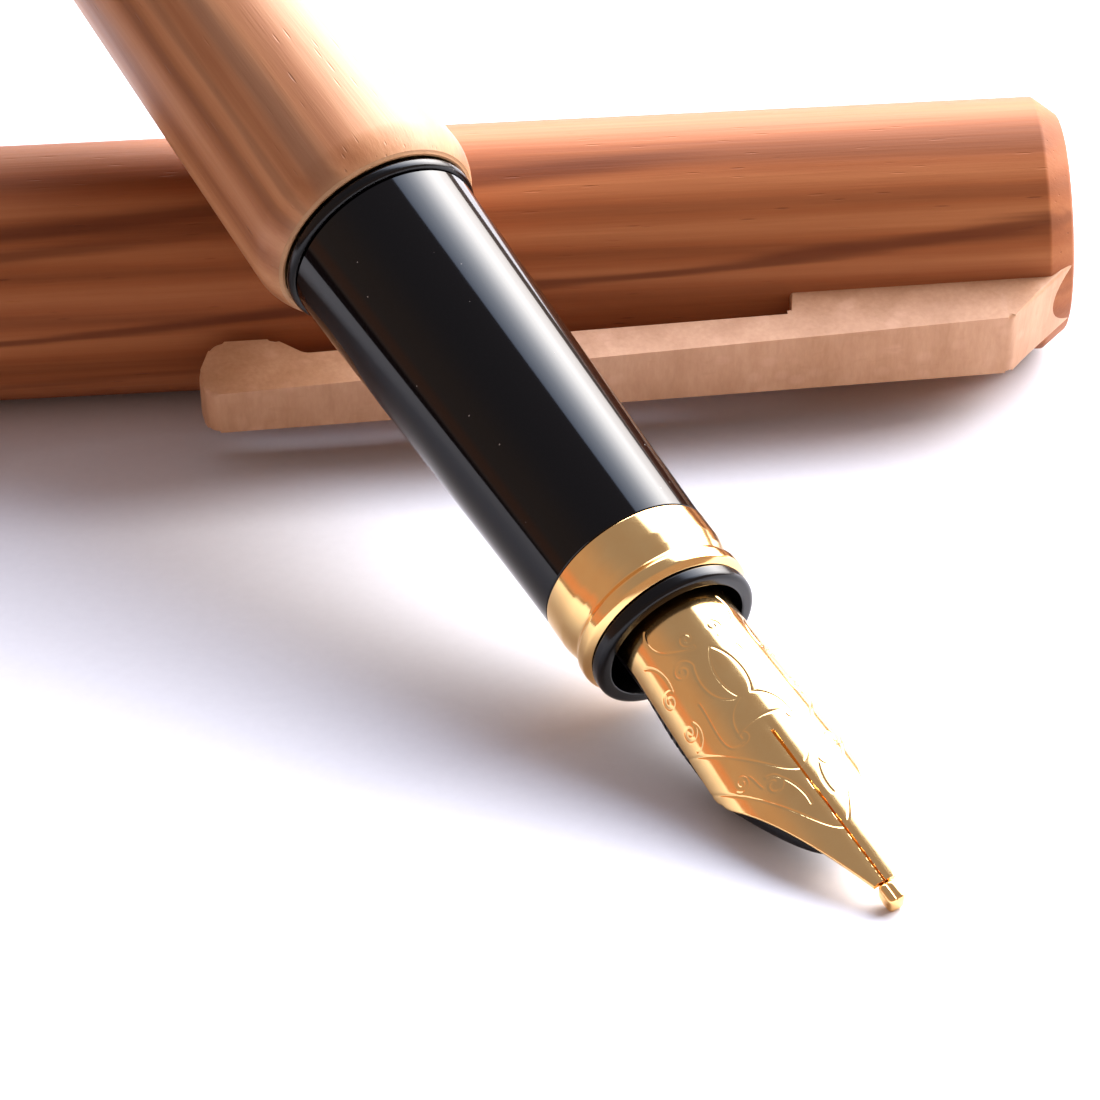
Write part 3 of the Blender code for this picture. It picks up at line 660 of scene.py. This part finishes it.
def spiral(across, along, start, end, turn_from, turns):
    """Points of a spiral on the flattened nib, about a centre, between two radii."""
    steps = int(abs(turns) * 90)
    points = []
    for step in range(steps + 1):
        share = step / steps
        size = start + (end - start) * share ** 0.8
        angle = math.radians(turn_from) + 2.0 * math.pi * turns * share
        points.append((across + size * math.cos(angle), along + size * math.sin(angle)))
    return points


def bend(first, pull_first, pull_last, last):
    """Points of a cubic curve."""
    points = []
    for share in stations(0.0, 1.0, 160):
        rest = 1.0 - share
        weights = (rest ** 3, 3 * rest ** 2 * share, 3 * rest * share ** 2, share ** 3)
        corners = (first, pull_first, pull_last, last)
        points.append(tuple(sum(weight * corner[axis] for weight, corner in zip(weights, corners))
                            for axis in (0, 1)))
    return points


def ornament():
    """Engraved scrolls on one half of the flattened nib, as (across, along) points."""
    lines = bend((0.0, 8.55), (0.9, 8.6), (1.9, 11.2), (4.6, 13.1))
    lines += bend((0.0, 4.7), (1.0, 4.9), (1.6, 8.3), (4.8, 10.85))
    for shift in (0.0, 0.07):
        lines += bend((1.65 - shift, 9.05), (1.15, 9.15 - shift), (0.35 + shift, 7.7), (0.55 + shift, 6.6))
    lines += spiral(1.5, 8.48, 0.58, 0.2, 75, 1.15)
    lines += spiral(2.75, 9.72, 0.5, 0.12, -20, -1.4)
    lines += bend((2.25, 9.7), (2.1, 9.3), (2.15, 9.1), (2.05, 8.75))
    lines += bend((2.1, 14.4), (2.1, 13.0), (2.75, 11.3), (1.6, 11.2))
    lines += spiral(1.35, 11.55, 0.38, 0.1, -60, -0.9)
    lines += bend((0.0, 11.97), (0.5, 11.95), (1.0, 11.9), (1.5, 11.75))
    lines += bend((1.45, 11.5), (1.5, 12.4), (1.2, 13.0), (0.3, 13.4))
    lines += spiral(3.45, 13.75, 0.55, 0.1, 160, 1.4)
    lines += bend((2.9, 13.85), (2.7, 13.3), (3.1, 12.6), (3.7, 12.75))
    lines += bend((0.3, 13.4), (1.3, 13.5), (1.8, 14.8), (1.25, 16.2))
    lines += spiral(1.85, 16.3, 0.62, 0.1, 190, -1.4)
    lines += bend((0.3, 13.4), (0.9, 14.4), (0.7, 15.8), (0.0, 16.6))
    lines += spiral(3.3, 15.7, 0.55, 0.1, 150, -1.35)
    lines += bend((2.85, 15.95), (2.6, 16.6), (2.7, 17.6), (3.4, 18.0))
    lines += spiral(0.75, 17.6, 0.5, 0.1, -100, 1.3)
    lines += bend((0.65, 17.1), (0.5, 16.8), (1.0, 16.9), (1.9, 17.6))
    lines += bend((1.9, 17.6), (2.5, 18.1), (2.6, 18.9), (2.2, 19.3))
    return lines


def groove_finder():
    """Search tree over both halves of the ornament."""
    half = ornament()
    points = half + [(-across, along) for across, along in half]
    tree = kdtree.KDTree(len(points))
    for index, (across, along) in enumerate(points):
        tree.insert((across, along, 0.0), index)
    tree.balance()
    return tree


def build_nib():
    """Arched gold sheet with its slit and its engraved scrolls cut into it."""
    columns = 220
    finder = groove_finder()
    rows = stations(NIB_FRONT, 21.0, 420) + stations(21.5, NIB_BACK, 8)
    shape = bmesh.new()
    rings = []
    for along in rows:
        curve, span = nib_section(along)
        outer = []
        inner = []
        for step in range(columns + 1):
            angle = span * (2.0 * step / columns - 1.0)
            across = curve * angle
            depth = 0.0
            if 3.0 < along < 20.0:
                off = finder.find((across, along, 0.0))[2]
                depth = GROOVE_DEPTH * math.exp(-(off / GROOVE_HALF) ** 2)
            valley = min(1.0, max(0.0, (VALLEY_BACK - along) / 0.8))
            depth += VALLEY_DEPTH * valley * max(0.0, 1.0 - abs(across) / VALLEY_HALF)
            if along < SLIT_BACK:
                depth = max(depth, SLIT_DEPTH * math.exp(-(across / SLIT_HALF) ** 4))
            edge = min(1.0, curve * (span - abs(angle)) / 0.12)
            drop = depth + 0.1 * (1.0 - math.sqrt(max(0.0, 1.0 - (1.0 - edge) ** 2)))
            for ring, size in ((outer, curve - drop), (inner, curve - NIB_THICKNESS)):
                place = (size * math.sin(angle), NIB_CREST - curve + size * math.cos(angle), along)
                ring.append(shape.verts.new(place))
        rings.append(outer + inner[::-1])
    skin(shape, rings)
    for ring in (rings[0], rings[-1]):
        for step in range(columns):
            shape.faces.new((ring[step], ring[step + 1], ring[-step - 2], ring[-step - 1]))
    dress(finish_mesh("gold_nib", shape, NIB, GOLD, 50), "nib_unit", "gold", "nib")


def build_pellet():
    """Writing pellet: a small rounded block with the slit running through it."""
    across, up, along = 0.46, 0.54, 0.6
    power = 4.5                # how square the block is
    shape = bmesh.new()
    bmesh.ops.create_cube(shape, size=2.0)
    bmesh.ops.subdivide_edges(shape, edges=shape.edges[:], cuts=27, use_grid_fill=True)
    for vertex in shape.verts:
        here = vertex.co
        size = (abs(here.x) ** power + abs(here.y) ** power + abs(here.z) ** power) ** (1.0 / power)
        x, y, z = here / size
        slit = 0.06 * math.exp(-(x * across / SLIT_HALF) ** 4) * (1.0 if y > 0 else 0.4)
        flare = 0.98 - 0.02 * z
        vertex.co = (across * flare * x, NIB_CREST - 0.02 - up + (up * flare - slit) * y, along * (1.0 + z))
    dress(finish_mesh("nib_pellet", shape, NIB, GOLD, 70), "nib_unit", "gold", "nib_tip")


def feed_outline(along, sides, fin):
    """Cross-section of the feed inside the nib's arch. fin takes a share off its lower side."""
    front, wide_at, deep_at, half, deep, top, point = 4.0, 10.8, 17.5, 3.2, 2.75, 2.75, 0.35
    share = min((along - front) / (wide_at - front), 1.0)
    half_width = point + (half - point) * share ** 0.42
    middle = 2.35 * (1.0 - share)
    depth = point + (deep - point) * min((along - front) / (deep_at - front), 1.0)
    curve = nib_section(along)[0]
    arch_middle = NIB_CREST - curve
    room = curve - NIB_THICKNESS - 0.05
    outline = []
    for step in range(sides):
        angle = 2.0 * math.pi * step / sides
        below = max(0.0, -math.cos(angle))
        height = top - middle if math.cos(angle) > 0.0 else depth
        size = 1.0 - fin * min(1.0, below * 3.0)
        place = Vector((half_width * size * math.sin(angle),
                        middle + height * size * math.cos(angle) - arch_middle))
        if place.length > room:
            place = place.normalized() * room
        outline.append((place.x, place.y + arch_middle))
    return outline


def build_feed():
    """Ink feed, smooth towards its point and finned towards the collar."""
    shape = bmesh.new()
    sides = 96
    places = [(along, 0.0) for along in stations(4.0, 12.4, 40)]
    fin_pitch = 0.62
    for fin in range(10):
        start = 12.6 + fin * fin_pitch
        places += [(start, 0.0), (start + 0.02, 0.24), (start + 0.24, 0.24), (start + 0.26, 0.0)]
    places += [(along, 0.0) for along in stations(19.2, 28.4, 6)]
    rings = [[shape.verts.new((x, y, along)) for x, y in feed_outline(along, sides, fin)]
             for along, fin in places]
    skin(shape, rings)
    shape.faces.new(rings[0])
    shape.faces.new(rings[-1])
    dress(finish_mesh("ink_feed", shape, NIB, MATT_BLACK, 34), "nib_unit", "black_matte", "feed")


# ---------------------------------------------------------------- barrel and converter

def build_barrel():
    """Bored wooden barrel and its threaded bush."""
    lip = 5.6
    outside = [(5.4, BARREL_FRONT), (lip - 0.08, BARREL_FRONT), (lip, BARREL_FRONT + 0.08)]
    for share in stations(0.06, 1.0, 14):
        rise = math.sin(share * math.pi / 2.0) ** 0.8
        outside.append((lip + (BARREL_WIDEST - lip) * rise,
                        BARREL_FRONT + (BARREL_WIDEST_AT - BARREL_FRONT) * share))
    crown_start = BARREL_END - BARREL_CROWN
    outside += [(BARREL_WIDEST - BARREL_TAPER * (along - BARREL_WIDEST_AT), along)
                for along in stations(BARREL_WIDEST_AT + 1.0, crown_start, 30)]
    crown = outside[-1][0]
    outside += [(crown * math.cos(angle), crown_start + BARREL_CROWN * math.sin(angle))
                for angle in stations(0.1, math.pi / 2.0, 14)[:-1]]
    outside.append((0.0, BARREL_END))
    inside = [(0.0, 104.5), (3.6, 103.0), (3.6, 90.0), (4.1, 89.8), (4.1, 57.9), (5.4, 57.9)]
    dress(turned("wooden_barrel", inside + outside, PEN, BARREL_WOOD),
          "barrel", "barrel_wood", "barrel_tube")

    groove = thread(49.6, 57.3, 0.8, 0.3, 4.7, 4.9)
    profile = [(4.8, along) for along in stations(BARREL_FRONT + 0.4, 57.4, 80)]
    profile += [(4.8, 57.6), (5.3, 57.6), (5.3, BARREL_FRONT + 0.2), (4.95, BARREL_FRONT + 0.2)]
    bush = turned("barrel_thread_bush", profile, PEN, BRASS, 96,
                  lambda radius, along, angle: -groove(radius, along, angle))
    dress(bush, "barrel", "brass", "barrel_bush")


def build_converter():
    """Mouthpiece, ink tube, metal band and screw knob."""
    profile = soft([(1.7, 39.0, 0.2), (3.0, 39.0, 0.3), (3.0, 45.7, 0.15), (1.2, 45.7, 0), (1.2, 44.3, 0),
                    (1.7, 44.3, 0)])
    dress(turned("converter_mouthpiece", profile, PEN, MATT_BLACK, 96), "converter", "black_matte",
          "converter_nozzle")
    profile = soft([(2.7, 46.0, 0.1), (3.35, 46.0, 0.15), (3.35, 79.5, 0.15), (2.7, 79.5, 0.1)])
    dress(turned("ink_tube", profile, PEN, CLEAR, 96), "converter", "clear", "converter_tube")
    profile = soft([
        (3.45, 71.5, 0.05), (3.7, 71.5, 0.12), (3.7, 72.6, 0.1), (3.58, 72.75, 0.05), (3.58, 73.15, 0.05),
        (3.7, 73.3, 0.1), (3.7, 80.6, 0.1), (3.58, 80.75, 0.05), (3.58, 81.1, 0.05), (3.7, 81.25, 0.1),
        (3.7, 82.0, 0.2), (2.6, 82.0, 0.05), (2.6, 79.8, 0), (3.45, 79.8, 0)])
    dress(turned("converter_collar", profile, PEN, CHROME, 120), "converter", "chrome", "converter_band")

    def flutes(radius, along, angle):
        if not (83.1 < along < 93.7 and radius > 3.3):
            return 0.0
        run_out = min(1.0, (along - 83.1) / 0.3, (93.7 - along) / 0.3)
        return 0.16 * run_out * (0.5 - 0.5 * math.cos(24 * angle)) ** 2

    profile = soft([(0.0, 93.7, 0), (1.4, 93.7, 0.2), (1.4, 74.5, 0.1), (2.5, 74.5, 0.2), (2.5, 82.3, 0.05),
                    (3.4, 82.3, 0.3)], closed=False)
    profile += [(3.4, along) for along in stations(83.0, 93.8, 28)]
    profile += [(3.3, 94.2), (3.0, 94.42), (2.6, 94.5), (0.0, 94.5)]
    dress(turned("converter_screw_knob", profile, PEN, MATT_BLACK, 192, flutes), "knob", "black_matte",
          "converter_knob")


def build_piston():
    """Piston head, its seal and the screwed rod."""
    profile = soft([(0.0, 47.2, 0), (2.55, 47.2, 0.3), (2.55, 48.4, 0.08), (1.65, 48.4, 0), (1.65, 50.2, 0),
                    (2.55, 50.2, 0.08), (2.55, 51.5, 0.1), (0.0, 51.5, 0)], closed=False)
    dress(turned("piston", profile, PEN, MATT_BLACK, 96), "piston", "black_matte", "piston_head")
    profile = soft([(1.75, 48.5, 0.1), (2.65, 48.5, 0.35), (2.65, 50.1, 0.35), (1.75, 50.1, 0.1)])
    dress(turned("piston_ring_seal", profile, PEN, RUBBER, 96), "piston", "seal", "piston_seal")
    profile = [(0.0, 51.6), (1.1, 51.6), (1.3, 51.8)]
    profile += [(1.3, along) for along in stations(52.0, 77.2, 260)]
    profile += [(1.1, 77.5), (0.0, 77.5)]
    cut = thread(55.0, 77.0, 1.25, 0.28, 1.2, 1.35)
    dress(turned("screwed_rod", profile, PEN, MATT_BLACK, 64, cut), "piston", "black_matte", "piston_rod")


# ---------------------------------------------------------------- stage, light and camera

def build_floor():
    """White sheet, which ends a little way to the left of the case."""
    half, left = 2.2, 0.085    # metres
    shape = bmesh.new()
    corners = [shape.verts.new((x / MM, y / MM, 0.0)) for x, y in
               ((-left, -half), (half, -half), (half, half), (-left, half))]
    shape.faces.new(corners)
    material, tree, shader = start_material("paper", (0.74, 0.735, 0.77), 0.9)
    grain = noise(tree, local_mm(tree), 1.5, 4.0, 0.6)
    tree.links.new(ramp(tree, grain, [(0.3, (0.73, 0.725, 0.76)), (0.7, (0.75, 0.745, 0.78))]),
                   shader.inputs["Base Color"])
    shader.inputs["Specular IOR Level"].default_value = 0.2
    finish_mesh("table_top", shape, Matrix.Identity(4), material)


def build_world():
    """Soft room light, with a warm wall low on the left and dark ground below the table."""
    world = bpy.data.worlds.new("studio")
    world.use_nodes = True
    bpy.context.scene.world = world
    tree = world.node_tree
    tree.nodes.clear()
    direction = node(tree, "ShaderNodeTexCoord").outputs["Generated"]
    split = node(tree, "ShaderNodeSeparateXYZ", {"Vector": direction}).outputs
    height = split["Z"]
    low_wall = math_node(tree, "MULTIPLY", fade(tree, height, 0.26, 0.1), fade(tree, height, -0.05, 0.03))
    left = fade(tree, split["X"], -0.5, -0.85)
    warm = math_node(tree, "MULTIPLY", low_wall, left)
    room = mix(tree, fade(tree, height, 0.45, 0.95), (0.53, 0.39, 0.33), (0.36, 0.33, 0.36))
    room = mix(tree, fade(tree, height, -0.01, -0.08), room, (0.09, 0.05, 0.05))
    light = mix(tree, warm, room, (0.76, 0.37, 0.24))
    lit = node(tree, "ShaderNodeBackground", {"Color": light, "Strength": 1.0})
    seen = node(tree, "ShaderNodeBackground", {"Color": (0.97, 0.97, 0.985, 1.0), "Strength": 1.0})
    camera_ray = node(tree, "ShaderNodeLightPath").outputs["Is Camera Ray"]
    joined = node(tree, "ShaderNodeMixShader", {0: camera_ray, 1: lit.outputs[0], 2: seen.outputs[0]})
    node(tree, "ShaderNodeOutputWorld", {"Surface": joined.outputs[0]})


def direction(azimuth, elevation):
    """Unit vector; azimuth is measured from +Y towards +X."""
    turn, rise = math.radians(azimuth), math.radians(elevation)
    return Vector((math.sin(turn) * math.cos(rise), math.cos(turn) * math.cos(rise), math.sin(rise)))


def build_softbox():
    """Large panel behind the right shoulder of the scene, brightest a little below its middle."""
    target = PEN @ (Vector((0.0, 0.0, 36.0)) * MM)
    azimuth, elevation, distance = 36.0, 38.0, 0.5
    width, height, strength = 0.92, 0.6, 31.5
    towards = direction(azimuth, elevation)
    level = Vector((towards.y, -towards.x, 0.0)).normalized()
    light = bpy.data.lights.new("softbox", "AREA")
    light.shape = "RECTANGLE"
    light.size = width
    light.size_y = height
    light.energy = strength
    panel = bpy.data.objects.new("softbox", light)
    bpy.context.scene.collection.objects.link(panel)
    panel.matrix_world = axes(target + towards * distance, level, towards.cross(level), towards)
    light.use_nodes = True
    tree = light.node_tree
    emission = tree.nodes["Emission"]
    across = node(tree, "ShaderNodeNewGeometry").outputs["Parametric"]
    split = node(tree, "ShaderNodeSeparateXYZ", {"Vector": across}).outputs
    bright = ramp(tree, split["Y"], [
        (0.0, (0.13, 0.16, 0.22)), (0.2, (0.3, 0.33, 0.39)), (0.33, (0.5, 0.52, 0.57)),
        (0.45, (0.78, 0.78, 0.81)), (0.57, (1.0, 0.98, 0.98)), (0.7, (1.0, 0.97, 0.96)),
        (0.8, (0.66, 0.63, 0.62)), (1.0, (0.3, 0.28, 0.27))])
    tree.links.new(bright, emission.inputs["Color"])


def build_camera():
    """Long lens looking down at the nib, from in front and a little to the left of the case's end."""
    end = Vector(mount("closed_end")["pos_m"])
    turn, rise, roll = -0.035, 0.5395, -0.0327    # radians
    back = Vector((math.sin(turn) * math.cos(rise), -math.cos(turn) * math.cos(rise), math.sin(rise)))
    right = Vector((math.cos(turn), math.sin(turn), 0.0))
    up = back.cross(right)
    across = right * math.cos(roll) + up * math.sin(roll)
    upward = up * math.cos(roll) - right * math.sin(roll)
    place = Vector((end.x - 37.61 * MM, end.y - 264.18 * MM, 145.95 * MM))
    lens = bpy.data.cameras.new("camera")
    lens.sensor_width = 36.0
    lens.lens = 180.0
    lens.clip_start = 0.01
    camera = bpy.data.objects.new("camera", lens)
    bpy.context.scene.collection.objects.link(camera)
    camera.matrix_world = axes(place, across, upward, back)
    bpy.context.scene.camera = camera


for build in (build_case, build_clip, build_section, build_housing, build_nib, build_pellet,
              build_feed, build_barrel, build_converter, build_piston,
              build_floor, build_world, build_softbox, build_camera):
    build()
bpy.context.scene.view_settings.view_transform = "Standard"
